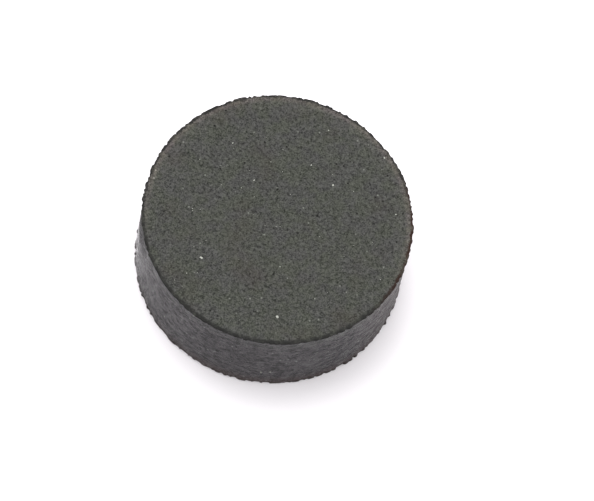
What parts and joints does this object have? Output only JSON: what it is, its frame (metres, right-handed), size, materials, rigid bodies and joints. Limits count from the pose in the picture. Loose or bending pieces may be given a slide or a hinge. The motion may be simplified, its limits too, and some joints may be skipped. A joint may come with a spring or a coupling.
{
  "type": "coin vibration motor",
  "caption": "Flat coin vibration motor in a moulded rubber jacket: an eccentric rotor with coils and a tungsten weight turns on a fixed shaft in a steel can, fed by contact pads underneath.",
  "frame": {"origin": "centre of the rubber jacket's bottom rim, on the rotor's axis", "axes": "+Z along the shaft towards the closed top, -Y towards the flex circuit's fold and contact pads, +X towards the positive contact pad"},
  "size_m": [0.0116, 0.0116, 0.0044],
  "materials": {
    "rubber": "matte",
    "can_steel": "satin",
    "plate_steel": "satin",
    "shaft_steel": "polished",
    "magnet": "satin",
    "polyimide": "satin",
    "gold_plate": "satin",
    "spring_bronze": "satin",
    "solder": "satin",
    "washer_nylon": "matte",
    "sintered_bronze": "matte",
    "rotor_resin": "matte",
    "laminate": "satin",
    "copper_wire": "gloss",
    "tungsten": "satin"
  },
  "bodies": {
    "motor": {"steel_can": "can_steel", "base_plate": "plate_steel", "shaft": "shaft_steel", "ring_magnet": "magnet", "flex_circuit": "polyimide", "contact_pad_positive": "gold_plate", "contact_pad_negative": "gold_plate", "solder_joint_positive": "solder", "solder_joint_negative": "solder"},
    "jacket": {"rubber_jacket": "rubber"},
    "rotor": {"bearing": "sintered_bronze", "rotor_frame": "rotor_resin", "commutator_board": "laminate", "commutator_segment_1": "gold_plate", "commutator_segment_2": "gold_plate", "commutator_segment_3": "gold_plate", "commutator_segment_4": "gold_plate", "commutator_segment_5": "gold_plate", "commutator_segment_6": "gold_plate", "coil_left": "copper_wire", "coil_right": "copper_wire", "counterweight": "tungsten"},
    "positive_brush": {"brush_positive": "spring_bronze"},
    "negative_brush": {"brush_negative": "spring_bronze"},
    "lower_thrust_washer": {"lower_washer": "washer_nylon"},
    "upper_thrust_washer": {"upper_washer": "washer_nylon"}
  },
  "joints": [
    {"name": "rotor_spin", "type": "hinge", "parent": "motor", "child": "rotor", "pos_m": [0, 0, 0], "axis": [0, 0, 1], "continuous": true},
    {"name": "lower_washer_slip", "type": "hinge", "parent": "motor", "child": "lower_thrust_washer", "pos_m": [0, 0, 0], "axis": [0, 0, 1], "continuous": true},
    {"name": "upper_washer_slip", "type": "hinge", "parent": "motor", "child": "upper_thrust_washer", "pos_m": [0, 0, 0], "axis": [0, 0, 1], "continuous": true},
    {"name": "negative_brush_flex", "type": "hinge", "parent": "motor", "child": "negative_brush", "pos_m": [-0.00145, -0.00095, 0.00073], "axis": [1, 0, 0], "range_deg": [-2, 0], "stiffness_Nm_per_rad": 0.00046, "springref_deg": 10},
    {"name": "positive_brush_flex", "type": "hinge", "parent": "motor", "child": "positive_brush", "pos_m": [0.00145, 0.00095, 0.00073], "axis": [-1, 0, 0], "range_deg": [-2, 0], "stiffness_Nm_per_rad": 0.00046, "springref_deg": 10},
    {"name": "jacket_pull_off", "type": "slide", "parent": "motor", "child": "jacket", "axis": [0, 0, 1], "range_m": [0, 0.006]}
  ]
}
